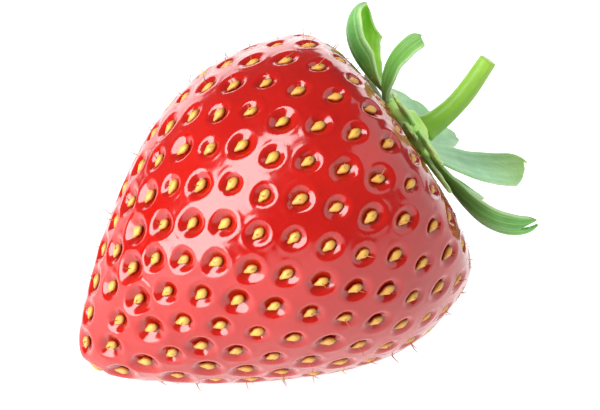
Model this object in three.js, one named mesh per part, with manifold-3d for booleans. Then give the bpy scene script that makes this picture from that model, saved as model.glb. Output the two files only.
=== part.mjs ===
// A ripe garden strawberry, as picked, lying on its flank.
//
// The red fruit is one solid: a blunt cone with full shoulders and a small flat on the flank
// that it rests on. Its green cap is a cap base on the fruit's crown, an outer ring of six
// narrow bracts, an inner ring of six broader sepals, and a short cut stalk. The pits and the
// seeds are far too many to be separate solids here, so the fruit's skin is left smooth.
//
// Millimetres, +Z up. The origin is the centre of the resting flat, and the fruit's axis
// lies in the XZ plane, from the tip at -X up to the cap at +X.

import * as THREE from "three";
import { mergeVertices } from "three/addons/utils/BufferGeometryUtils.js";
import Module from "manifold-3d";

const wasm = await Module();
wasm.setup();

// Driving dimensions.
const FRUIT_LENGTH = 36.8; // tip to crown, along the axis
const FRUIT_RADIUS = 16.5; // at the widest point, across the height
const FRUIT_DEPTH_RATIO = 0.96; // the fruit is a little narrower from side to side
const GIRDLE_SLANT = 0.075; // the widest ring sits lower on the side that faces up
const LEAN = THREE.MathUtils.degToRad(29.5); // the axis above the floor: the flank then lies flat
const REST_DEPTH = 0.4; // how far the flank is pressed flat
const REST_FROM_TIP = 19.75; // along the axis, to the point straight above the centre of the flat
const GAP = 0.3; // between pieces that touch

// The flank from tip to crown: distance along the axis and radius, as shares of the length
// and of the largest radius. It starts and ends on the axis.
const FLANK = [
  [0, 0],
  [0.013, 0.085],
  [0.052, 0.2],
  [0.124, 0.345],
  [0.207, 0.495],
  [0.305, 0.645],
  [0.413, 0.79],
  [0.516, 0.9],
  [0.62, 0.975],
  [0.707, 1],
  [0.795, 0.98],
  [0.878, 0.925],
  [0.945, 0.845],
  [0.983, 0.7],
  [1, 0.5],
  [0.998, 0.25],
  [0.99, 0],
];
const FLANK_STEPS = 44;
const ROUND_STEPS = 60;

// The cap has its own frame: its Y is the fruit's axis and its foot is on the crown.
const CAP_SHIFT = 0.9; // from the fruit's axis, towards the side that faces up
const CAP_RADIUS = 3.3;
const CAP_HEIGHT = 1.5;
const CAP_SIDES = 36;

const STALK_RADIUS = 1;
const STALK_SIDES = 14;
const STALK_STEPS = 14;

const LEAF_THICKNESS = 0.4;
const LEAF_STEPS = 16; // along each leaf
const LEAF_STRIPS = 6; // across each leaf
const BRACT_LEVEL = 0.3; // height of each ring of leaves in the cap
const SEPAL_LEVEL = 1;

// Each leaf of the cap. turn: round the axis from straight up, positive towards -Y. rise and
// curl: the slope at the base, outwards from the axis, and how much it turns up by the tip.
// late: how much of the curl is left for the end. cup: how far the edges stand up, as a share
// of the half width. twist: at the tip, about the leaf's own midline. blunt: how close to the
// tip the sides close in. waist and belly: the width at the foot, as a share of the full width,
// and how far along the leaf is at its widest. Angles are in degrees.
const SEPALS = [
  {
    turn: -54, length: 12.2, width: 5.5, rise: -7, curl: 114,
    late: 2.8, cup: 0.95, twist: -20, blunt: 9, waist: 0.25, belly: 0.9,
  },
  { turn: 34, length: 3.8, width: 4.4, rise: -3, curl: 4, late: 1, cup: 0.1, twist: 0, blunt: 1.8 },
  { turn: 84, length: 4.6, width: 4.4, rise: -3, curl: 4, late: 1, cup: 0.1, twist: 0, blunt: 1.8 },
  {
    turn: 135, length: 12.9, width: 5.6, rise: -2, curl: 89,
    late: 2.4, cup: 0.15, twist: -20, blunt: 4,
  },
  {
    turn: 188.5, length: 12.8, width: 5.8, rise: 29, curl: 35,
    late: 2.2, cup: 0.05, twist: 2, blunt: 20,
  },
  {
    turn: 253.5, length: 5.5, width: 5.8, rise: 16, curl: 18,
    late: 2, cup: 0.15, twist: -32, blunt: 6,
  },
];
const BRACTS = [
  {
    turn: -14, length: 7.7, width: 3.7, rise: 26, curl: 74,
    late: 1, cup: 0.05, twist: 11, blunt: 20, waist: 0.35,
  },
  { turn: 59, length: 4, width: 2.6, rise: 0, curl: 0, late: 1, cup: 0.1, twist: 0, blunt: 1.8 },
  { turn: 112, length: 4.8, width: 2.6, rise: 0, curl: 0, late: 1, cup: 0.1, twist: 0, blunt: 1.8 },
  { turn: 171, length: 7.4, width: 2.2, rise: 18, curl: 8, late: 1, cup: 0.15, twist: 0, blunt: 4 },
  {
    turn: 222, length: 10, width: 3.1, rise: 25, curl: 5,
    late: 1, cup: 0.3, twist: 2, blunt: 4.4, waist: 0.25, belly: 0.8,
  },
  { turn: 282, length: 6, width: 3, rise: -2, curl: 10, late: 1, cup: 0.15, twist: 0, blunt: 5 },
];

const FRUIT_RED = new THREE.MeshStandardMaterial({ color: 0xc8140e, roughness: 0.25 });
const CAP_GREEN = new THREE.MeshStandardMaterial({ color: 0x8fb850, roughness: 0.6 });
const LEAF_GREEN = new THREE.MeshStandardMaterial({ color: 0x5e9a44, roughness: 0.6 });
const STALK_GREEN = new THREE.MeshStandardMaterial({ color: 0x86b838, roughness: 0.5 });

// A closed geometry as a manifold-3d solid.
function solidOf(geometry) {
  const bare = geometry.clone();
  bare.deleteAttribute("normal");
  bare.deleteAttribute("uv");
  const merged = mergeVertices(bare, 1e-4);
  return new wasm.Manifold(
    new wasm.Mesh({
      numProp: 3,
      vertProperties: merged.attributes.position.array,
      triVerts: new Uint32Array(merged.index.array),
    }),
  );
}

function geometryOf(solid) {
  const mesh = solid.getMesh();
  const geometry = new THREE.BufferGeometry();
  geometry.setAttribute("position", new THREE.BufferAttribute(mesh.vertProperties, 3));
  geometry.setIndex(new THREE.BufferAttribute(mesh.triVerts, 1));
  geometry.computeVertexNormals();
  return geometry;
}

function named(name, geometry, material) {
  const mesh = new THREE.Mesh(geometry, material);
  mesh.name = name;
  return mesh;
}

// How far along the axis a point of the fruit is moved, none at the tip and the crown.
function slantAt(x, y) {
  return -GIRDLE_SLANT * x * Math.sin((Math.PI * y) / FRUIT_LENGTH);
}

// The lying pose: the fruit's own Y runs from tip to crown, its X is the side that faces up.
// Its place puts the lowest line of the flank at REST_DEPTH below the floor.
function lyingPose(flank) {
  const up = new THREE.Vector3(-Math.sin(LEAN), 0, Math.cos(LEAN));
  const axis = new THREE.Vector3(Math.cos(LEAN), 0, Math.sin(LEAN));
  const side = new THREE.Vector3(0, 1, 0);
  const pose = new THREE.Matrix4().makeBasis(up, axis, side);
  const lowest = Math.min(
    ...flank.map(({ x, y }) => -x * up.z + (y + slantAt(-x, y)) * axis.z),
  );
  const overFlat = axis.clone().multiplyScalar(REST_FROM_TIP);
  pose.setPosition(-overFlat.x, 0, -lowest - REST_DEPTH);
  return pose;
}

function fruit(flank, pose) {
  const body = new THREE.LatheGeometry(flank, ROUND_STEPS);
  body.scale(1, 1, FRUIT_DEPTH_RATIO);
  const points = body.attributes.position;
  for (let i = 0; i < points.count; i++) {
    const y = points.getY(i);
    points.setY(i, y + slantAt(points.getX(i), y));
  }
  const floor = new THREE.BoxGeometry(4 * FRUIT_LENGTH, 4 * FRUIT_LENGTH, FRUIT_LENGTH);
  floor.translate(0, 0, -FRUIT_LENGTH / 2);
  floor.applyMatrix4(pose.clone().invert());
  const lying = solidOf(body).subtract(solidOf(floor));
  return named("fruit", geometryOf(lying), FRUIT_RED);
}

// The cap base: a low green button with a collar that the stalk stands on.
function capBase() {
  const outline = new THREE.Path();
  outline.moveTo(0, 0);
  outline.lineTo(CAP_RADIUS - 0.4, 0);
  outline.quadraticCurveTo(CAP_RADIUS, 0, CAP_RADIUS, 0.4);
  outline.quadraticCurveTo(CAP_RADIUS, 0.7 * CAP_HEIGHT, STALK_RADIUS + 0.8, CAP_HEIGHT);
  outline.lineTo(0, CAP_HEIGHT);
  return named("cap_base", new THREE.LatheGeometry(outline.getPoints(6), CAP_SIDES), CAP_GREEN);
}

// The stalk leaves the cap base along the axis and bends up towards its cut end.
function stalk() {
  const foot = CAP_HEIGHT + GAP;
  const route = new THREE.CatmullRomCurve3([
    new THREE.Vector3(-0.8, foot, 0),
    new THREE.Vector3(-0.8, foot + 2.3, 0),
    new THREE.Vector3(-0.1, foot + 5.2, 0),
    new THREE.Vector3(1.6, foot + 8.8, 0),
  ]);
  const section = new THREE.Shape();
  section.absarc(0, 0, STALK_RADIUS, 0, 2 * Math.PI);
  const tube = new THREE.ExtrudeGeometry(section, {
    extrudePath: route,
    steps: STALK_STEPS,
    curveSegments: STALK_SIDES,
  });
  return named("stalk", tube, STALK_GREEN);
}

// Half the width of a leaf at a share of its length: it swells from the base, then tapers.
function leafHalfWidth(leaf, share) {
  const { waist = 0.45, belly = 0.5 } = leaf;
  const swell = waist + (1 - waist) * Math.sin((Math.PI / 2) * Math.min(1, share / belly));
  const taper = Math.sqrt(Math.max(0, 1 - share ** leaf.blunt));
  return (leaf.width / 2) * Math.max(0.16, swell * taper);
}

// A leaf along +X from the cap base: a flat bar whose points are moved onto its curved blade.
function leafBlade(leaf, level) {
  const bar = new THREE.BoxGeometry(1, 1, 1, LEAF_STEPS, LEAF_STRIPS, 1);
  const rise = THREE.MathUtils.degToRad(leaf.rise);
  const curl = THREE.MathUtils.degToRad(leaf.curl);
  const midline = [{ out: CAP_RADIUS + GAP, up: level, slope: rise }];
  for (let i = 1; i <= LEAF_STEPS; i++) {
    const last = midline[i - 1];
    const slope = rise + curl * (i / LEAF_STEPS) ** leaf.late;
    const step = leaf.length / LEAF_STEPS;
    midline.push({
      out: last.out + step * Math.cos(slope),
      up: last.up + step * Math.sin(slope),
      slope,
    });
  }
  const points = bar.attributes.position;
  for (let i = 0; i < points.count; i++) {
    const share = points.getX(i) + 0.5;
    const across = 2 * points.getY(i);
    const through = LEAF_THICKNESS * points.getZ(i) * (1 - 0.5 * across ** 2);
    const { out, up, slope } = midline[Math.round(share * LEAF_STEPS)];
    const half = leafHalfWidth(leaf, share);
    const twist = THREE.MathUtils.degToRad(leaf.twist) * share;
    const standing = leaf.cup * half * across ** 2 * Math.min(1, 3 * share) + through;
    const aside = half * across;
    const lift = standing * Math.cos(twist) + aside * Math.sin(twist);
    const wide = aside * Math.cos(twist) - standing * Math.sin(twist);
    points.setXYZ(i, out - lift * Math.sin(slope), up + lift * Math.cos(slope), -wide);
  }
  return bar;
}

function leafRing(kind, leaves, level) {
  return leaves.map((leaf, i) => {
    const blade = named(`${kind}_${i + 1}`, leafBlade(leaf, level), LEAF_GREEN);
    blade.rotation.y = THREE.MathUtils.degToRad(leaf.turn);
    return blade;
  });
}

const flank = new THREE.SplineCurve(
  FLANK.map(([along, out]) => new THREE.Vector2(out * FRUIT_RADIUS, along * FRUIT_LENGTH)),
).getSpacedPoints(FLANK_STEPS);
flank.forEach((point) => (point.x = Math.max(0, point.x)));
flank[0].x = 0;
flank[FLANK_STEPS].x = 0;

const cap = new THREE.Group();
cap.position.set(CAP_SHIFT, FRUIT_LENGTH + GAP, 0);
cap.add(capBase(), stalk());
cap.add(...leafRing("sepal", SEPALS, SEPAL_LEVEL));
cap.add(...leafRing("bract", BRACTS, BRACT_LEVEL));

const pose = lyingPose(flank);
const lying = new THREE.Group();
lying.applyMatrix4(pose);
lying.add(fruit(flank, pose), cap);

const strawberry = new THREE.Group();
strawberry.add(lying);

export default strawberry;
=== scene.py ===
import math
import random

import bpy
import numpy as np
from mathutils import Matrix, Vector, noise


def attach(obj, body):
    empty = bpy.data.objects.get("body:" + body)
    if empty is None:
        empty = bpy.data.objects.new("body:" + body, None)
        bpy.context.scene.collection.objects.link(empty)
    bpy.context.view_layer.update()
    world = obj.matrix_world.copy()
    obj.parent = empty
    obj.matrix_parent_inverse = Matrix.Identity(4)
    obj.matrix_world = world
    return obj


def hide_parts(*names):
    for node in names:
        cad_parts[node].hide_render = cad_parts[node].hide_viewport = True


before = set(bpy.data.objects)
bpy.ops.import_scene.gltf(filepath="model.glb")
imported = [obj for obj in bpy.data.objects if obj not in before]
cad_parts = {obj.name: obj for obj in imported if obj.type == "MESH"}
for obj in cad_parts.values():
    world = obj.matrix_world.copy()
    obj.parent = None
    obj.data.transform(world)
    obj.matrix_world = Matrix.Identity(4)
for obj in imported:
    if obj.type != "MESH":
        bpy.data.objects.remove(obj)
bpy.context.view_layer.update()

# ---- Fruit -------------------------------------------------------------------------------
# The red fruit is the swollen end of the flower stalk: soft flesh under a thin glossy skin.
# The skin sinks into a pit under every seed and swells into a low rim round it. It grew in
# one piece. It lies on a small flat on its flank, with its axis leaning up to the cap.

MM = 0.001
FRUIT_LENGTH = 36.8 * MM  # tip to crown, along the axis
FRUIT_RADIUS = 16.5 * MM
FRUIT_DEPTH_RATIO = 0.96
GIRDLE_SLANT = 0.075
LEAN = math.radians(29.5)
REST_DEPTH = 0.4 * MM
REST_FROM_TIP = 19.75 * MM

# From the tip to the crown: along the axis and out from it, as shares of length and radius.
FLANK_SHARES = [
    (0, 0), (0.013, 0.085), (0.052, 0.2), (0.124, 0.345), (0.207, 0.495), (0.305, 0.645),
    (0.413, 0.79), (0.516, 0.9), (0.62, 0.975), (0.707, 1), (0.795, 0.98), (0.878, 0.925),
    (0.945, 0.845), (0.983, 0.7), (1, 0.5), (0.998, 0.25), (0.99, 0),
]

SKIN_CUTS = 127  # in each side of the cube that the skin starts from
LUMP_HEIGHT = 0.1 * MM
LUMP_SIZE = 9 * MM

SEED_COUNT = 307
SEEDLESS_CROWN = 5.8 * MM  # round the cap
SPIRAL_STEP = -math.radians(94.29)  # from each seed to the next
SPIRAL_START = math.pi / 2
SPIRAL_OFFSET = 0.714
SEED_SPACING = 3.75 * MM  # closer seeds push each other apart as they grow
PUSHES = 14
PIT_LENGTH = 1.17 * MM  # half of a pit, towards the tip
PIT_WIDTH = 0.98 * MM  # half of a pit, across
PIT_DEPTH = 0.5 * MM
RIM_HEIGHT = 0.05 * MM
PIT_REACH = 3.2 * MM  # a pit bends no skin further off than this
PRESSED_HEIGHT = 0.9 * MM  # below this the skin is pressed flat and holds no seed


def smooth_outline(points, count):
    """Evenly spaced points on a smooth curve through the given ones."""
    held = np.array([points[0], *points, points[-1]], float)
    t = np.linspace(0, 1, 24, endpoint=False)[:, None]
    spans = []
    for before, start, end, after in zip(held, held[1:], held[2:], held[3:]):
        leave = (end - before) / 2
        arrive = (after - start) / 2
        bend = 3 * (end - start) - 2 * leave - arrive
        turn_back = 2 * (start - end) + leave + arrive
        spans.append(start + leave * t + bend * t**2 + turn_back * t**3)
    curve = np.vstack([*spans, held[-1:]])
    steps = np.linalg.norm(np.diff(curve, axis=0), axis=1)
    length = np.concatenate([[0], np.cumsum(steps)])
    evenly = np.linspace(0, length[-1], count)
    return np.column_stack([np.interp(evenly, length, side) for side in curve.T])


def slanted(up, along):
    """The widest ring sits lower on the side that faces up."""
    return along - GIRDLE_SLANT * up * np.sin(math.pi * along / FRUIT_LENGTH)


flank = smooth_outline([(a * FRUIT_LENGTH, r * FRUIT_RADIUS) for a, r in FLANK_SHARES], 400)
flank_along, flank_out = flank.T
flank_share = np.linspace(0, 1, len(flank))

# The fruit's own directions: up from its upper side, along its axis, and aside.
fruit_up = np.array([-math.sin(LEAN), 0, math.cos(LEAN)])
fruit_axis = np.array([math.cos(LEAN), 0, math.sin(LEAN)])
fruit_aside = np.array([0, 1, 0])
lowest = np.min(-flank_out * fruit_up[2] + slanted(-flank_out, flank_along) * fruit_axis[2])
fruit_place = np.array([-REST_FROM_TIP * fruit_axis[0], 0, -lowest - REST_DEPTH])


def lie_down(points):
    """Points given as up, along and aside of the fruit, in the frame of the whole part."""
    return fruit_place + points @ np.array([fruit_up, fruit_axis, fruit_aside])


def fruit_surface(share, angle):
    """Points of the fruit without its pits, by share of the flank and angle from its top."""
    out = np.interp(share, flank_share, flank_out)
    up = out * np.cos(angle)
    aside = -FRUIT_DEPTH_RATIO * out * np.sin(angle)
    along = slanted(up, np.interp(share, flank_share, flank_along))
    return lie_down(np.column_stack([up, along, aside]))


def pit_places(draw):
    """Where each seed sits: share, angle and size. They follow a spiral from tip to crown."""
    strips = (flank_out[1:] + flank_out[:-1]) / 2 * np.hypot(*np.diff(flank, axis=0).T)
    area = np.concatenate([[0], np.cumsum(strips)])
    girdle = np.argmax(flank_out)
    crown = girdle + np.argmax(flank_out[girdle:] < SEEDLESS_CROWN)
    order = np.arange(SEED_COUNT)
    share = np.interp(area[crown] * (order + SPIRAL_OFFSET) / SEED_COUNT, area, flank_share)
    angle = SPIRAL_START + order * SPIRAL_STEP
    share += [draw.gauss(0, 0.003) for _ in order]
    angle += [draw.gauss(0, 0.011) for _ in order]
    for _ in range(PUSHES):
        here = fruit_surface(share, angle)
        ahead = fruit_surface(share + 0.001, angle) - here
        beside = fruit_surface(share, angle + 0.001) - here
        apart = here[:, None] - here[None]
        distance = np.linalg.norm(apart, axis=2) + np.eye(SEED_COUNT)
        closeness = np.clip(1 - distance / SEED_SPACING, 0, None)
        push = 0.25 * SEED_SPACING * np.einsum("ij,ijk->ik", closeness / distance, apart)
        share += 0.001 * np.sum(push * ahead, axis=1) / np.sum(ahead**2, axis=1)
        angle += 0.001 * np.sum(push * beside, axis=1) / np.sum(beside**2, axis=1)
        share = np.clip(share, 0.012, flank_share[crown])
    return [(s, a, draw.uniform(0.86, 1.18)) for s, a in zip(share, angle)]


class Pit:
    """A pit's centre, its three directions and its size, which is largest near the tip."""

    def __init__(self, share, angle, size):
        ahead, beside, here = fruit_surface(
            np.array([share - 0.004, share, share]), np.array([angle, angle + 0.02, angle])
        )
        self.centre = here
        self.to_tip = (ahead - here) / np.linalg.norm(ahead - here)
        out = np.cross(self.to_tip, beside - here)
        self.out = out / np.linalg.norm(out)
        self.across = np.cross(self.out, self.to_tip)
        self.share = share
        self.size = size * (1.2 - 0.42 * share)


pits = [Pit(*place) for place in pit_places(random.Random(11))]
pits = [pit for pit in pits if pit.centre[2] > PRESSED_HEIGHT]

bpy.ops.object.select_all(action="DESELECT")
bpy.ops.mesh.primitive_cube_add(size=2)
skin = bpy.context.object
skin.name = "fruit_skin"
bpy.ops.object.mode_set(mode="EDIT")
bpy.ops.mesh.select_all(action="SELECT")
bpy.ops.mesh.subdivide(number_cuts=SKIN_CUTS)
bpy.ops.object.mode_set(mode="OBJECT")


def read_points(mesh, what="co"):
    """The places of a mesh's points, or their normals, as rows of an array."""
    values = np.empty(len(mesh.vertices) * 3)
    mesh.vertices.foreach_get(what, values)
    return values.reshape(-1, 3)


def write_points(mesh, points):
    """Moves a mesh's points to the places in an array."""
    mesh.vertices.foreach_set("co", points.ravel())
    mesh.update()


def paint(mesh, name, values):
    """Keeps a value at each point, for the piece's material."""
    layer = mesh.attributes.new(name, "FLOAT", "POINT")
    layer.data.foreach_set("value", np.asarray(values, float))


# The cube is rounded to a ball with even squares, and the ball is drawn onto the fruit.
ball = np.tan(read_points(skin.data) * math.pi / 4)
ball /= np.linalg.norm(ball, axis=1)[:, None]
skin_share = np.arccos(np.clip(-ball[:, 2], -1, 1)) / math.pi
write_points(skin.data, fruit_surface(skin_share, np.arctan2(ball[:, 1], ball[:, 0])))

bpy.ops.object.mode_set(mode="EDIT")
bpy.ops.mesh.select_all(action="SELECT")
bpy.ops.mesh.normals_make_consistent(inside=False)
bpy.ops.object.mode_set(mode="OBJECT")

smooth = read_points(skin.data)
outward = read_points(skin.data, "normal")
depth = np.zeros(len(smooth))
pit_shade_mask = np.zeros(len(smooth))
for pit in pits:
    away = smooth - pit.centre
    near = np.einsum("ij,ij->i", away, away) < PIT_REACH**2
    lengthwise = away[near] @ pit.to_tip / (PIT_LENGTH * pit.size)
    across = away[near] @ pit.across / (PIT_WIDTH * pit.size)
    narrowing = 1 + 0.12 * lengthwise
    distance = np.hypot(lengthwise, across * narrowing)
    bowl = np.exp(-((distance / 0.86) ** 4))
    rim = np.exp(-(((distance - 1.25) / 0.2) ** 2))
    depth[near] += PIT_DEPTH * pit.size * bowl - RIM_HEIGHT * rim
    pit_shade_mask[near] = np.maximum(pit_shade_mask[near], bowl)
lumps = np.array([noise.noise(Vector(point) / LUMP_SIZE) for point in smooth])
pitted = smooth + outward * (LUMP_HEIGHT * lumps - depth)[:, None]
pitted[:, 2] = np.maximum(pitted[:, 2], 0)
write_points(skin.data, pitted)
# How deep in a pit's bowl each point lies, kept for the painted shade in the pits.
paint(skin.data, "pit", pit_shade_mask)
paint(skin.data, "share", skin_share)
bpy.ops.object.shade_smooth()


def tissue_group():
    """Living tissue: two colours in soft patches, and a fine grain of cells."""
    group = bpy.data.node_groups.new("tissue", "ShaderNodeTree")
    for name, kind in [("Colour", "Color"), ("Patches", "Color"), ("Patch scale", "Float"),
                       ("Cell scale", "Float")]:
        group.interface.new_socket(name, in_out="INPUT", socket_type="NodeSocket" + kind)
    group.interface.new_socket("Colour", in_out="OUTPUT", socket_type="NodeSocketColor")
    group.interface.new_socket("Cells", in_out="OUTPUT", socket_type="NodeSocketFloat")
    nodes = group.nodes
    links = group.links
    given = nodes.new("NodeGroupInput")
    made = nodes.new("NodeGroupOutput")
    place = nodes.new("ShaderNodeTexCoord")
    patches = nodes.new("ShaderNodeTexNoise")
    patches.inputs["Detail"].default_value = 4
    links.new(place.outputs["Object"], patches.inputs["Vector"])
    links.new(given.outputs["Patch scale"], patches.inputs["Scale"])
    spread = nodes.new("ShaderNodeMapRange")
    spread.inputs["From Min"].default_value = 0.35
    spread.inputs["From Max"].default_value = 0.65
    links.new(patches.outputs["Fac"], spread.inputs["Value"])
    mix = nodes.new("ShaderNodeMix")
    mix.data_type = "RGBA"
    links.new(spread.outputs["Result"], mix.inputs["Factor"])
    links.new(given.outputs["Colour"], mix.inputs["A"])
    links.new(given.outputs["Patches"], mix.inputs["B"])
    cells = nodes.new("ShaderNodeTexVoronoi")
    cells.feature = "SMOOTH_F1"
    links.new(place.outputs["Object"], cells.inputs["Vector"])
    links.new(given.outputs["Cell scale"], cells.inputs["Scale"])
    links.new(mix.outputs["Result"], made.inputs["Colour"])
    links.new(cells.outputs["Distance"], made.inputs["Cells"])
    return group


tissue = tissue_group()


class Material:
    """A node material with a Principled BSDF, and short ways to add to it."""

    def __init__(self, name, **constants):
        self.made = bpy.data.materials.new(name)
        self.made.use_nodes = True
        self.nodes = self.made.node_tree.nodes
        self.links = self.made.node_tree.links
        self.shader = self.nodes["Principled BSDF"]
        for socket, value in constants.items():
            self.shader.inputs[socket.replace("_", " ")].default_value = value

    def node(self, kind, **inputs):
        made = self.nodes.new("ShaderNode" + kind)
        for socket, value in inputs.items():
            self.put(made.inputs[socket.replace("_", " ")], value)
        return made

    def put(self, socket, value):
        if isinstance(value, bpy.types.NodeSocket):
            self.links.new(value, socket)
        else:
            socket.default_value = value

    def tissue(self, colour, patches, patch_scale, cell_scale):
        group = self.nodes.new("ShaderNodeGroup")
        group.node_tree = tissue
        self.put(group.inputs["Colour"], colour)
        self.put(group.inputs["Patches"], patches)
        group.inputs["Patch scale"].default_value = patch_scale
        group.inputs["Cell scale"].default_value = cell_scale
        return group.outputs["Colour"], group.outputs["Cells"]

    def attribute(self, name):
        made = self.nodes.new("ShaderNodeAttribute")
        made.attribute_name = name
        return made.outputs["Fac"]

    def between(self, value, low, high, to_low=0.0, to_high=1.0):
        return self.node("MapRange", Value=value, From_Min=low, From_Max=high,
                         To_Min=to_low, To_Max=to_high).outputs["Result"]

    def mixed(self, share, first, second, way="MIX"):
        made = self.nodes.new("ShaderNodeMix")
        made.data_type = "RGBA"
        made.blend_type = way
        self.put(made.inputs["Factor"], share)
        self.put(made.inputs["A"], first)
        self.put(made.inputs["B"], second)
        return made.outputs["Result"]

    def finish(self, colour, roughness, height, bump_depth):
        """Colour, roughness and the height of the surface, with the relief's depth in metres."""
        self.put(self.shader.inputs["Base Color"], colour)
        self.put(self.shader.inputs["Roughness"], roughness)
        bump = self.node("Bump", Height=height, Strength=1.0, Distance=bump_depth)
        self.links.new(bump.outputs["Normal"], self.shader.inputs["Normal"])
        return self.made


RIPE_RED = (0.39, 0.006, 0.003, 1)
DEEP_RED = (0.34, 0.004, 0.002, 1)
# Painted shade: a darker red laid into each seed's pit, where the hollow is shaded.
PIT_SHADE_RED = (0.31, 0.008, 0.002, 1)
# Paler shoulder round the cap: partly the skin's own pale colour, partly a painted highlight along
# the rim.
SHOULDER_PALE_AND_HIGHLIGHT = (0.75, 0.22, 0.11, 1)


def ripe_skin():
    skin_look = Material(
        "ripe_skin", Subsurface_Weight=0.25, Subsurface_Scale=1.5 * MM,
        Subsurface_Radius=(1, 0.12, 0.06), IOR=1.46, Coat_Weight=0.5, Coat_Roughness=0.04,
    )
    colour, cells = skin_look.tissue(RIPE_RED, DEEP_RED, 190, 1900)
    # Painted shade: the skin darkens towards the bottom of each pit.
    pit_shade_share = skin_look.between(skin_look.attribute("pit"), 0.15, 0.9)
    colour = skin_look.mixed(pit_shade_share, colour, PIT_SHADE_RED)
    # Pale colour and painted highlight in a band round the crown.
    shoulder_and_highlight = skin_look.between(skin_look.attribute("share"), 0.84, 0.93)
    colour = skin_look.mixed(shoulder_and_highlight, colour, SHOULDER_PALE_AND_HIGHLIGHT)
    rough = skin_look.between(cells, 0, 0.6, 0.11, 0.18)
    return skin_look.finish(colour, rough, cells, 0.012 * MM)


skin.data.materials.append(ripe_skin())
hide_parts("fruit")
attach(skin, "root")

# ---- Seeds -------------------------------------------------------------------------------
# Each seed is a dry fruit of its own, an achene: a hard golden teardrop that sits in its pit
# with its pointed end towards the fruit's tip. One is modelled, and a copy is set in each pit.

SEED_LENGTH = 0.72 * MM  # half of a seed
SEED_WIDTH = 0.45 * MM
SEED_THICKNESS = 0.33 * MM
SEED_SINK = 0.29 * MM  # its middle lies this far under the skin's level

bpy.ops.object.select_all(action="DESELECT")
bpy.ops.mesh.primitive_uv_sphere_add(
    segments=8, ring_count=6, radius=1, rotation=(0, math.pi / 2, 0)
)
seed = bpy.context.object
bpy.ops.object.transform_apply(location=False, rotation=True, scale=False)


def select_points(obj, chosen):
    """Selects the points for which chosen is true, and leaves the piece in edit mode."""
    bpy.ops.object.mode_set(mode="EDIT")
    bpy.ops.mesh.select_mode(type="VERT")
    bpy.ops.mesh.select_all(action="DESELECT")
    bpy.ops.object.mode_set(mode="OBJECT")
    for point in obj.data.vertices:
        point.select = bool(chosen(point.co))
    bpy.ops.object.mode_set(mode="EDIT")


POINTED_HALF = 0.4  # from here on a seed narrows to its point
VERY_POINT = 0.95

select_points(seed, lambda co: co.x > POINTED_HALF)
bpy.ops.transform.resize(value=(1.15, 0.72, 0.75))
bpy.ops.mesh.select_all(action="DESELECT")
bpy.ops.object.mode_set(mode="OBJECT")
select_points(seed, lambda co: co.x > VERY_POINT)
bpy.ops.transform.translate(value=(0.08, 0, 0))
bpy.ops.object.mode_set(mode="OBJECT")
paint(seed.data, "to_point", [(point.co.x + 1) / 2 for point in seed.data.vertices])
paint(seed.data, "height", [(point.co.z + 1) / 2 for point in seed.data.vertices])
seed.data.transform(Matrix.Diagonal((SEED_LENGTH, SEED_WIDTH, SEED_THICKNESS, 1)))


def set_in_pit(pit, sink, turn, size):
    """The matrix that sets a small shape, pointing along X with Z up, into a pit."""
    axes = Matrix(np.column_stack([pit.to_tip, -pit.across, pit.out]).tolist()).to_4x4()
    place = Matrix.Translation(pit.centre - pit.out * sink)
    return place @ axes @ Matrix.Rotation(turn, 4, "Z") @ Matrix.Scale(size, 4)


def copies_in_pits(pattern, name, places):
    """One piece made of a copy of the pattern at each place, which is a matrix and a tint."""
    copies = []
    for matrix, tint in places:
        copy = pattern.copy()
        copy.data = pattern.data.copy()
        copy.data.transform(matrix)
        paint(copy.data, "tint", [tint] * len(copy.data.vertices))
        bpy.context.collection.objects.link(copy)
        copies.append(copy)
    bpy.data.objects.remove(pattern)
    bpy.ops.object.select_all(action="DESELECT")
    for copy in copies:
        copy.select_set(True)
    bpy.context.view_layer.objects.active = copies[0]
    bpy.ops.object.join()
    joined = bpy.context.object
    joined.name = name
    bpy.ops.object.shade_smooth()
    return joined


draw = random.Random(23)
seed_places = [
    (set_in_pit(pit, SEED_SINK, draw.gauss(0, 0.14), draw.uniform(0.92, 1.08)), draw.random())
    for pit in pits
]
seeds = copies_in_pits(seed, "seeds", seed_places)

SEED_GOLD = (0.62, 0.34, 0.05, 1)
SEED_AMBER = (0.64, 0.3, 0.06, 1)
# Olive tone darkened with painted shade, at the seed's blunt end.
SEED_OLIVE_SHADE = (0.36, 0.24, 0.03, 1)  # at its blunt end
# Painted shade, with painted red light thrown back from the flesh, on the seed's underside.
SEED_FOOT_SHADE = (0.36, 0.07, 0.012, 1)  # where it meets the flesh


def seed_shell():
    shell = Material("seed_shell", Subsurface_Weight=0.15, Subsurface_Scale=0.4 * MM,
                     Subsurface_Radius=(1, 0.5, 0.2), IOR=1.5)
    tint = shell.mixed(shell.attribute("tint"), SEED_GOLD, SEED_AMBER)
    colour, cells = shell.tissue(tint, SEED_GOLD, 900, 5000)
    # Olive colour and painted shade towards the blunt end.
    far_end_shade = shell.between(shell.attribute("to_point"), 0.42, 0.1, 0, 0.75)
    colour = shell.mixed(far_end_shade, colour, SEED_OLIVE_SHADE)
    # Painted shade and painted red bounce light on the lower part of each seed.
    foot = shell.between(shell.attribute("height"), 0.82, 0.5, 0, 0.85)
    colour = shell.mixed(foot, colour, SEED_FOOT_SHADE)
    rough = shell.between(cells, 0, 0.6, 0.3, 0.45)
    return shell.finish(colour, rough, cells, 0.01 * MM)


seeds.data.materials.append(seed_shell())
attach(seeds, "root")

# ---- Styles ------------------------------------------------------------------------------
# A dry brown thread, the flower's style, still stands on many of the seeds. It is a bent hair
# that leaves the seed's upper side and withers to a point.

STYLE_RADIUS = 0.07 * MM
STYLE_LENGTH = 0.95 * MM
STYLE_STEPS = 4
STYLE_SINK = 0.1 * MM
STYLE_SHARE = 0.75  # of the seeds still hold one
THREAD_DARK = (0.2, 0.09, 0.03, 1)
THREAD_LIGHT = (0.42, 0.2, 0.06, 1)
THREAD_RUST = (0.3, 0.1, 0.03, 1)

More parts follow.
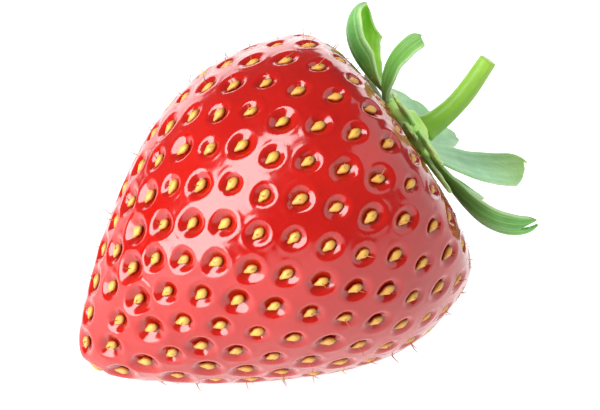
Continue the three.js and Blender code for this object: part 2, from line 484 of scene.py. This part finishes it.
bpy.ops.object.select_all(action="DESELECT")
bpy.ops.mesh.primitive_circle_add(vertices=3, radius=STYLE_RADIUS, fill_type="NGON")
style = bpy.context.object
bpy.ops.object.mode_set(mode="EDIT")
bpy.ops.mesh.select_all(action="SELECT")
for step in range(STYLE_STEPS):
    rise = STYLE_LENGTH / STYLE_STEPS
    lean = 0.12 * step * rise
    bpy.ops.mesh.extrude_region_move(TRANSFORM_OT_translate={"value": (-lean, 0, rise)})
    bpy.ops.transform.resize(value=(0.78, 0.78, 0.78))
bpy.ops.mesh.select_all(action="SELECT")
bpy.ops.mesh.normals_make_consistent(inside=False)
bpy.ops.object.mode_set(mode="OBJECT")

draw = random.Random(5)
style_places = []
for pit in pits:
    matrix = set_in_pit(pit, STYLE_SINK, draw.uniform(-1.2, 1.2), draw.uniform(0.6, 1.25))
    lean = Matrix.Rotation(draw.uniform(-1.0, 0.3), 4, "Y")
    if draw.random() < STYLE_SHARE:
        style_places.append((matrix @ lean, draw.random()))
styles = copies_in_pits(style, "styles", style_places)


def dry_thread():
    thread = Material("dry_thread", IOR=1.45)
    tint = thread.mixed(thread.attribute("tint"), THREAD_DARK, THREAD_LIGHT)
    colour, cells = thread.tissue(tint, THREAD_RUST, 1500, 6000)
    return thread.finish(colour, 0.6, cells, 0.005 * MM)


styles.data.materials.append(dry_thread())
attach(styles, "root")

# ---- Cap base ----------------------------------------------------------------------------
# The green disc that the leaves and the stalk grow from. It sits on the crown, swells where
# each leaf leaves it, and draws in to a collar round the foot of the stalk.

GAP = 0.3 * MM
CAP_SHIFT = 0.9 * MM  # from the fruit's axis, towards its upper side
CAP_SIDES = 72
CAP_FOOT_RADIUS = 2.9  # in millimetres
CAP_RINGS = [  # radius and height of each ring above it, in millimetres
    (3.35, 0.1), (3.62, 0.5), (3.5, 0.95), (2.9, 1.25), (2.2, 1.42), (1.7, 1.68), (1.42, 2.1),
    (1.2, 2.15),
]
CAP_RIDGES = 12  # one under each leaf
SMOOTH_COLLAR = 1.7  # the ridges die out at this radius, in millimetres


def onto_cap(points):
    """Points given as up, along and aside from the middle of the cap's foot."""
    return lie_down(points + np.array([CAP_SHIFT, FRUIT_LENGTH + GAP, 0]))


bpy.ops.object.select_all(action="DESELECT")
bpy.ops.mesh.primitive_circle_add(vertices=CAP_SIDES, radius=CAP_FOOT_RADIUS * MM, fill_type="NGON")
cap_base = bpy.context.object
cap_base.name = "cap_disc"
bpy.ops.object.mode_set(mode="EDIT")
bpy.ops.mesh.select_all(action="SELECT")
last_radius, last_height = CAP_FOOT_RADIUS, 0
for radius, height in CAP_RINGS:
    rise = (height - last_height) * MM
    bpy.ops.mesh.extrude_region_move(TRANSFORM_OT_translate={"value": (0, 0, rise)})
    share = radius / last_radius
    bpy.ops.transform.resize(value=(share, share, 1))
    last_radius, last_height = radius, height
bpy.ops.mesh.select_all(action="SELECT")
bpy.ops.mesh.normals_make_consistent(inside=False)
bpy.ops.object.mode_set(mode="OBJECT")
cap_points = read_points(cap_base.data)
cap_angle = np.arctan2(cap_points[:, 1], cap_points[:, 0])
cap_radius = np.hypot(*cap_points[:, :2].T) / MM
ridge = np.cos(CAP_RIDGES * cap_angle + 0.5) * np.clip(cap_radius - SMOOTH_COLLAR, 0, 1)
cap_points[:, :2] *= (1 + 0.04 * ridge + 0.02 * np.cos(5 * cap_angle))[:, None]
cap_points[:, 2] *= 1 + 0.08 * ridge
write_points(cap_base.data, onto_cap(cap_points[:, [0, 2, 1]] * [1, 1, -1]))
smoothing = cap_base.modifiers.new("soft", "SUBSURF")
smoothing.levels = 2
smoothing.render_levels = 2
bpy.ops.object.modifier_apply(modifier="soft")
bpy.ops.object.shade_smooth()

CAP_GREEN = (0.44, 0.76, 0.16, 1)
CAP_YELLOW = (0.6, 0.82, 0.26, 1)


def cap_green():
    flesh = Material("cap_green", Subsurface_Weight=0.2, Subsurface_Scale=1 * MM,
                     Subsurface_Radius=(0.5, 1, 0.2), IOR=1.42)
    colour, cells = flesh.tissue(CAP_GREEN, CAP_YELLOW, 500, 3000)
    return flesh.finish(colour, flesh.between(cells, 0, 0.6, 0.45, 0.6), cells, 0.03 * MM)


cap_base.data.materials.append(cap_green())
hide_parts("cap_base")
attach(cap_base, "root")

# ---- Leaves of the cap -------------------------------------------------------------------
# Six broad sepals and six narrow bracts stand round the cap base in two rings. Each is a thin
# soft blade with a fold along its middle, fine veins beside it and an uneven end, and it
# curls up and away from the fruit.

LEAF_FOOT = 3.15  # where a leaf starts, in millimetres from the middle of the cap base
LEAF_ZERO = 3.6 * MM  # where its length is measured from
LEAF_THICKNESS = 0.3 * MM
LEAF_STEPS = 44
LEAF_STRIPS = 16
BRACT_LEVEL = 0.3 * MM
SEPAL_LEVEL = 1 * MM
FOLD_DEPTH = 0.16 * MM
VEIN_DEPTH = 0.035 * MM
WAVE_DEPTH = 0.12 * MM  # of the flutter along the edges
PALE_EDGE = (0.55, 0.68, 0.42, 1)
PALE_VEIN = (0.5, 0.68, 0.32, 1)
DRY_TIP = (0.28, 0.2, 0.12, 1)
LEAF_SHADE = (0.72, 0.8, 0.7, 1)


def leaf_half_width(leaf, share):
    """It swells from the waist at the foot to the belly, then closes in at a blunt end."""
    waist = leaf.get("waist", 0.45)
    swell = waist + (1 - waist) * np.sin(math.pi / 2 * np.minimum(1, share / leaf.get("belly", 0.5)))
    taper = np.sqrt(np.clip(1 - share ** leaf["blunt"], 0, 1))
    return leaf["width"] / 2 * MM * np.maximum(0.16, swell * taper)


def leaf_blade(name, leaf, level, whim):
    """A flat grid, drawn onto the leaf's curved blade."""
    bpy.ops.object.select_all(action="DESELECT")
    bpy.ops.mesh.primitive_grid_add(x_subdivisions=LEAF_STEPS, y_subdivisions=LEAF_STRIPS, size=2)
    blade = bpy.context.object
    blade.name = name
    flat = read_points(blade.data)
    across = flat[:, 1]
    ends = np.array(leaf.get("ends", [(-1, 1), (1, 1)]), float)
    cut = np.interp(across, ends[:, 0], ends[:, 1])
    share = (flat[:, 0] + 1) / 2 * (1 - (1 - cut) * ((flat[:, 0] + 1) / 2) ** 3)
    steps = np.linspace(0, 1, 200)
    slope = np.radians(leaf["rise"] + leaf["curl"] * steps ** leaf["late"])
    foot = leaf.get("foot", LEAF_FOOT) * MM
    run = (leaf["length"] * MM + LEAF_ZERO - foot) / len(steps)
    out = foot + np.concatenate([[0], np.cumsum(run * np.cos(slope))[:-1]])
    up = level + np.concatenate([[0], np.cumsum(run * np.sin(slope))[:-1]])
    slope, out, up = (np.interp(share, steps, values) for values in (slope, out, up))
    flutter = np.array([noise.noise(Vector((5 * s, a, whim))) for s, a in zip(share, across)])
    half = leaf_half_width(leaf, share) * (1 + 0.06 * flutter * np.abs(across))
    twist = math.radians(leaf["twist"]) * share
    opened = np.minimum(1, 3 * share)
    standing = leaf["cup"] * half * across**2 * opened
    standing -= FOLD_DEPTH * np.exp(-((across / 0.16) ** 2)) * opened * (1 - 0.6 * share)
    standing += VEIN_DEPTH * np.cos(across * math.pi * 5) * opened
    standing += WAVE_DEPTH * flutter * np.abs(across) ** 2
    aside = half * across
    lift = standing * np.cos(twist) + aside * np.sin(twist)
    wide = aside * np.cos(twist) - standing * np.sin(twist)
    away = out - lift * np.sin(slope)
    high = up + lift * np.cos(slope)
    turn = math.radians(leaf["turn"])
    around = np.column_stack([
        away * math.cos(turn) - wide * math.sin(turn),
        high,
        -away * math.sin(turn) - wide * math.cos(turn),
    ])
    write_points(blade.data, onto_cap(around))
    paint(blade.data, "along", share)
    paint(blade.data, "across", across)
    return blade


LEAF_COLOURS = {  # at the foot, in the middle and at the tip
    # The first look is a light yellow-green made lighter still, to cancel the cap's shadow on the
    # short front leaves: painted light.
    "painted_light": ((0.45, 0.78, 0.16, 1), (0.5, 0.82, 0.22, 1), (0.52, 0.84, 0.26, 1)),
    "vivid": ((0.28, 0.54, 0.12, 1), (0.42, 0.76, 0.05, 1), (0.44, 0.78, 0.1, 1)),
    "fresh": ((0.1, 0.28, 0.04, 1), (0.14, 0.4, 0.05, 1), (0.19, 0.4, 0.09, 1)),
    "deep": ((0.17, 0.32, 0.04, 1), (0.1, 0.32, 0.06, 1), (0.13, 0.38, 0.07, 1)),
    "pale": ((0.45, 0.75, 0.4, 1), (0.45, 0.75, 0.5, 1), (0.45, 0.7, 0.42, 1)),
    "soft": ((0.4, 0.72, 0.4, 1), (0.36, 0.68, 0.4, 1), (0.4, 0.62, 0.2, 1)),
}


def leaf_green(name, foot, middle, tip, dryness):
    """Greens from foot to tip, with lighter veins and a paler, dry, hairy edge."""
    leaf_look = Material(name, Subsurface_Weight=0.3, Subsurface_Scale=0.6 * MM,
                         Subsurface_Radius=(0.5, 1, 0.2), IOR=1.4)
    along = leaf_look.attribute("along")
    across = leaf_look.attribute("across")
    colour = leaf_look.mixed(leaf_look.between(along, 0.05, 0.4), foot, middle)
    colour = leaf_look.mixed(leaf_look.between(along, 0.5, 1), colour, tip)
    darker = leaf_look.mixed(1.0, colour, LEAF_SHADE, "MULTIPLY")
    colour, cells = leaf_look.tissue(colour, darker, 420, 3500)
    side = leaf_look.node("Math", Value=across)
    side.operation = "ABSOLUTE"
    edge = leaf_look.between(side.outputs["Value"], 0.86, 1.0, 0, 0.55)
    colour = leaf_look.mixed(edge, colour, PALE_EDGE)
    vein_lines = leaf_look.node("Math", Value=across)
    vein_lines.operation = "PINGPONG"
    vein_lines.inputs[1].default_value = 0.2
    vein = leaf_look.between(vein_lines.outputs["Value"], 0.05, 0.0, 0, 0.3)
    colour = leaf_look.mixed(vein, colour, PALE_VEIN)
    dry = leaf_look.between(along, 0.975, 1.0, 0, dryness)
    colour = leaf_look.mixed(dry, colour, DRY_TIP)
    return leaf_look.finish(colour, leaf_look.between(cells, 0, 0.6, 0.42, 0.6), cells, 0.03 * MM)


leaf_looks = {
    name: leaf_green("leaf_" + name, *colours, 0.5 if name == "deep" else 0.15)
    for name, colours in LEAF_COLOURS.items()
}

# turn: round the axis from the fruit's upper side towards the front. rise and curl: the slope at
# the foot, and how much it turns up by the tip. late: how much of the curl is left for the end.
# cup: how far the edges stand up, as a share of the half width. twist: at the tip, about the
# leaf's own midline. blunt: how close to the tip the sides close in. waist and belly: the width
# at the foot, as a share of the full one, and how far along the leaf is at its widest. foot:
# where it starts. ends: how far the blade goes at places across it. looks: of the upper face and
# the underside. Lengths are in millimetres and angles in degrees.
SEPALS = [
    {"turn": -54, "length": 12.2, "width": 5.5, "rise": -7, "curl": 114, "late": 2.8, "cup": 0.95,
     "twist": -20, "blunt": 9, "waist": 0.25, "belly": 0.9, "foot": 3.9,
     "looks": ("vivid", "deep")},
    # The two short sepals at the front wear the look with painted light against the cap's shadow.
    {"turn": 34, "length": 3.8, "width": 4.4, "rise": -3, "curl": 4, "late": 1, "cup": 0.1,
     "twist": 0, "blunt": 1.8, "looks": ("painted_light", "painted_light")},
    {"turn": 84, "length": 4.6, "width": 4.4, "rise": -3, "curl": 4, "late": 1, "cup": 0.1,
     "twist": 0, "blunt": 1.8, "looks": ("painted_light", "painted_light")},
    {"turn": 135, "length": 12.9, "width": 5.6, "rise": -2, "curl": 89, "late": 2.4, "cup": 0.15,
     "twist": -20, "blunt": 4, "looks": ("deep", "deep"),
     "ends": [(-1, 0.94), (-0.75, 1), (-0.4, 0.97), (0, 0.86), (0.3, 0.9), (0.6, 1), (1, 0.95)]},
    {"turn": 188.5, "length": 12.8, "width": 5.8, "rise": 29, "curl": 35, "late": 2.2, "cup": 0.05,
     "twist": 2, "blunt": 20, "looks": ("soft", "pale"),
     "ends": [(-1, 0.76), (-0.6, 0.86), (0, 0.95), (1, 1)]},
    {"turn": 253.5, "length": 5.5, "width": 5.8, "rise": 16, "curl": 18, "late": 2, "cup": 0.15,
     "twist": -32, "blunt": 6, "looks": ("pale", "pale")},
]
BRACTS = [
    {"turn": -14, "length": 7.7, "width": 3.7, "rise": 26, "curl": 74, "late": 1, "cup": 0.05,
     "twist": 11, "blunt": 20, "waist": 0.35, "foot": 3.7, "looks": ("fresh", "fresh"),
     "ends": [(-1, 1), (1, 0.95)]},
    # The two short bracts at the front wear the look with painted light against the cap's shadow.
    {"turn": 59, "length": 4, "width": 2.6, "rise": 0, "curl": 0, "late": 1, "cup": 0.1,
     "twist": 0, "blunt": 1.8, "looks": ("painted_light", "painted_light")},
    {"turn": 112, "length": 4.8, "width": 2.6, "rise": 0, "curl": 0, "late": 1, "cup": 0.1,
     "twist": 0, "blunt": 1.8, "looks": ("painted_light", "painted_light")},
    {"turn": 171, "length": 7.4, "width": 2.2, "rise": 18, "curl": 8, "late": 1, "cup": 0.15,
     "twist": 0, "blunt": 4, "looks": ("pale", "pale")},
    {"turn": 222, "length": 10, "width": 3.1, "rise": 25, "curl": 5, "late": 1, "cup": 0.3,
     "twist": 2, "blunt": 4.4, "waist": 0.25, "belly": 0.8, "looks": ("pale", "pale")},
    {"turn": 282, "length": 6, "width": 3, "rise": -2, "curl": 10, "late": 1, "cup": 0.15,
     "twist": 0, "blunt": 5, "looks": ("soft", "pale")},
]


def grow_leaf(kind, number, leaf, level):
    """One leaf of a ring, with its thickness, looks and node."""
    node = f"{kind}_{number}"
    blade = leaf_blade(node + "_blade", leaf, level, 10 * number + len(kind))
    for look in leaf["looks"]:
        blade.data.materials.append(leaf_looks[look])
    wall_thickness = blade.modifiers.new("thickness", "SOLIDIFY")
    wall_thickness.thickness = LEAF_THICKNESS
    wall_thickness.offset = 0
    wall_thickness.material_offset = 1
    bpy.ops.object.modifier_apply(modifier="thickness")
    smoothing = blade.modifiers.new("soft", "SUBSURF")
    smoothing.levels = 1
    smoothing.render_levels = 1
    bpy.ops.object.modifier_apply(modifier="soft")
    bpy.ops.object.shade_smooth()
    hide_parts(node)
    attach(blade, "root")


for kind, ring, level in [("sepal", SEPALS, SEPAL_LEVEL), ("bract", BRACTS, BRACT_LEVEL)]:
    for number, leaf in enumerate(ring, 1):
        grow_leaf(kind, number, leaf, level)

# ---- Stalk -------------------------------------------------------------------------------
# The short length of stalk that was picked with the fruit: a round juicy stem that tapers and
# bends up to a clean cut. The cut end is paler, and its soft middle is sunk a little.

STALK_FOOT = 1.8 * MM
STALK_ROUTE = [(-0.8, 0), (-0.8, 2.3), (-0.1, 5.2), (1.6, 8.8)]  # up and along, from the foot
STALK_RADII = (1.16, 0.86)  # at the foot and at the cut, in millimetres
STALK_SIDES = 28
STALK_STEPS = 26
FLARE = 0.35  # how much wider the stalk is where it leaves the cap
FLARE_STEPS = 1.6

bpy.ops.object.select_all(action="DESELECT")
bpy.ops.mesh.primitive_circle_add(vertices=STALK_SIDES, radius=1, fill_type="NGON")
stalk = bpy.context.object
stalk.name = "stalk_stem"
bpy.ops.object.mode_set(mode="EDIT")
bpy.ops.mesh.select_all(action="SELECT")
for step in range(STALK_STEPS):
    bpy.ops.mesh.extrude_region_move(TRANSFORM_OT_translate={"value": (0, 0, 1)})
bpy.ops.mesh.inset(thickness=0.3, depth=0)
bpy.ops.mesh.inset(thickness=0.25, depth=-0.08)
bpy.ops.mesh.select_all(action="SELECT")
bpy.ops.mesh.normals_make_consistent(inside=False)
bpy.ops.object.mode_set(mode="OBJECT")
route = smooth_outline(STALK_ROUTE, STALK_STEPS + 1) * MM
course = np.gradient(route, axis=0)
course /= np.linalg.norm(course, axis=1)[:, None]
straight = read_points(stalk.data)
station = straight[:, 2]
index = np.arange(STALK_STEPS + 1)
share = station / STALK_STEPS
radius = STALK_RADII[0] + (STALK_RADII[1] - STALK_RADII[0]) * np.minimum(1, share)
radius += FLARE * np.exp(-station / FLARE_STEPS) - 0.05 * np.exp(-(((station - 10) / 4) ** 2))
stalk_angle = np.arctan2(straight[:, 1], straight[:, 0])
radius *= MM * (1 + 0.025 * np.cos(5 * stalk_angle + 1) + 0.012 * np.cos(9 * stalk_angle))
middle_up = np.interp(station, index, route[:, 0])
middle_along = np.interp(station, index, route[:, 1])
course_up = np.interp(station, index, course[:, 0])
course_along = np.interp(station, index, course[:, 1])
sideways = straight[:, 0] * radius
curved = np.column_stack([
    middle_up + sideways * course_along,
    STALK_FOOT + middle_along - sideways * course_up,
    straight[:, 1] * radius,
])
write_points(stalk.data, onto_cap(curved))
paint(stalk.data, "share", share)
paint(stalk.data, "inside", (np.hypot(straight[:, 0], straight[:, 1]) < 0.9) * (station > 5))
rounding = stalk.modifiers.new("soft", "SUBSURF")
rounding.levels = 1
rounding.render_levels = 1
bpy.ops.object.modifier_apply(modifier="soft")
bpy.ops.object.shade_smooth()

STALK_GREEN = (0.22, 0.44, 0.035, 1)
STALK_LIGHT = (0.28, 0.5, 0.05, 1)
STALK_SHADE = (0.8, 0.85, 0.8, 1)
STALK_PITH = (0.5, 0.62, 0.28, 1)


def stalk_green():
    stem = Material("stalk_green", Subsurface_Weight=0.3, Subsurface_Scale=1 * MM,
                    Subsurface_Radius=(0.6, 1, 0.2), IOR=1.42)
    colour = stem.mixed(stem.between(stem.attribute("share"), 0, 0.9), STALK_GREEN, STALK_LIGHT)
    darker = stem.mixed(1.0, colour, STALK_SHADE, "MULTIPLY")
    colour, cells = stem.tissue(colour, darker, 350, 3500)
    colour = stem.mixed(stem.attribute("inside"), colour, STALK_PITH)
    return stem.finish(colour, stem.between(cells, 0, 0.6, 0.35, 0.5), cells, 0.02 * MM)


stalk.data.materials.append(stalk_green())
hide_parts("stalk")
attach(stalk, "root")

# ---- Studio ------------------------------------------------------------------------------
# A wide white table that glows a little, a tall strip light close by at the fruit's left with a
# dark card behind it, large dim panels at the right and at the back, and the camera.

FLOOR_SIZE = 4
TABLE_GREY = (0.5, 0.5, 0.5, 1)
TABLE_PATCHES = (0.52, 0.52, 0.52, 1)
CARD_BLACK = (0.01, 0.01, 0.01, 1)
CARD_PATCHES = (0.02, 0.02, 0.02, 1)

bpy.ops.object.select_all(action="DESELECT")
bpy.ops.mesh.primitive_plane_add(size=FLOOR_SIZE)
floor = bpy.context.object
floor.name = "floor"
table = Material("white_table", Emission_Color=(1, 1, 1, 1), Emission_Strength=0.92)
table_colour, table_grain = table.tissue(TABLE_GREY, TABLE_PATCHES, 3, 40)
floor.data.materials.append(table.finish(table_colour, 0.7, table_grain, 0.01 * MM))

TARGET = Vector((6.65, 0, 15)) * MM


def towards(azimuth, elevation):
    """The direction to something at an azimuth, with 0 in front, and an elevation."""
    turn = math.radians(azimuth)
    height = math.radians(elevation)
    return Vector((
        math.sin(turn) * math.cos(height), -math.cos(turn) * math.cos(height), math.sin(height),
    ))


def light_panel(name, azimuth, elevation, distance, size, power, tilt=None, roll=0, slide=0):
    """A rectangle of light that looks at the fruit, or level with a tilt of 0."""
    light = bpy.data.lights.new(name, "AREA")
    light.shape = "RECTANGLE"
    light.size, light.size_y = size
    light.energy = power
    panel = bpy.data.objects.new(name, light)
    back = towards(azimuth, elevation)
    place = Matrix.Translation(TARGET + back * distance + towards(azimuth + 90, 0) * slide)
    outward = back if tilt is None else towards(azimuth, tilt)
    facing = outward.to_track_quat("Z", "Y").to_matrix().to_4x4()
    panel.matrix_world = place @ facing @ Matrix.Rotation(roll, 4, "Z")
    bpy.context.collection.objects.link(panel)


STRIP_AZIMUTH = -75
STRIP_DISTANCE = 0.14
CARD_WIDTH = 0.34
CARD_HEIGHT = 0.05

light_panel(
    "strip_light", STRIP_AZIMUTH, 61.9, 0.297, (0.095, 0.55), power=1.55, tilt=0,
    roll=math.radians(-7), slide=0.036,
)
light_panel("side_panel", 70, 30, 0.8, (0.9, 1.0), power=3.8)
light_panel("back_panel", 165, 14, 0.9, (1.6, 0.42), power=4.8)

bpy.ops.object.select_all(action="DESELECT")
bpy.ops.mesh.primitive_plane_add(size=1)
card = bpy.context.object
card.name = "dark_card"
card.scale = (CARD_WIDTH, CARD_HEIGHT, 1)
card.rotation_euler = (math.pi / 2, 0, math.radians(STRIP_AZIMUTH))
card.location = towards(STRIP_AZIMUTH, 0) * (STRIP_DISTANCE + 0.01) + Vector((0, 0, CARD_HEIGHT / 2))
card.visible_camera = False
black = Material("black_card")
black_colour, black_grain = black.tissue(CARD_BLACK, CARD_PATCHES, 3, 40)
card.data.materials.append(black.finish(black_colour, 0.9, black_grain, 0.01 * MM))

world = bpy.data.worlds.new("studio")
world.use_nodes = True
world.node_tree.nodes["Background"].inputs["Color"].default_value = (1, 1, 1, 1)
world.node_tree.nodes["Background"].inputs["Strength"].default_value = 0.16
bpy.context.scene.world = world
bpy.context.scene.view_settings.view_transform = "Standard"

VIEW_AZIMUTH = -18
VIEW_ELEVATION = 28
VIEW_DISTANCE = 0.191
camera_back = towards(VIEW_AZIMUTH, VIEW_ELEVATION)
camera_right = towards(VIEW_AZIMUTH + 90, 0)
camera_up = camera_back.cross(camera_right)
camera_data = bpy.data.cameras.new("camera")
camera_data.lens = 120
camera_data.sensor_width = 36
camera = bpy.data.objects.new("camera", camera_data)
aim = TARGET - 2.17 * MM * camera_right + 0.73 * MM * camera_up
axes = Matrix((camera_right, camera_up, camera_back)).transposed().to_4x4()
camera.matrix_world = Matrix.Translation(aim + camera_back * VIEW_DISTANCE) @ axes
camera_data.clip_start = 0.005
bpy.context.collection.objects.link(camera)
bpy.context.scene.camera = camera
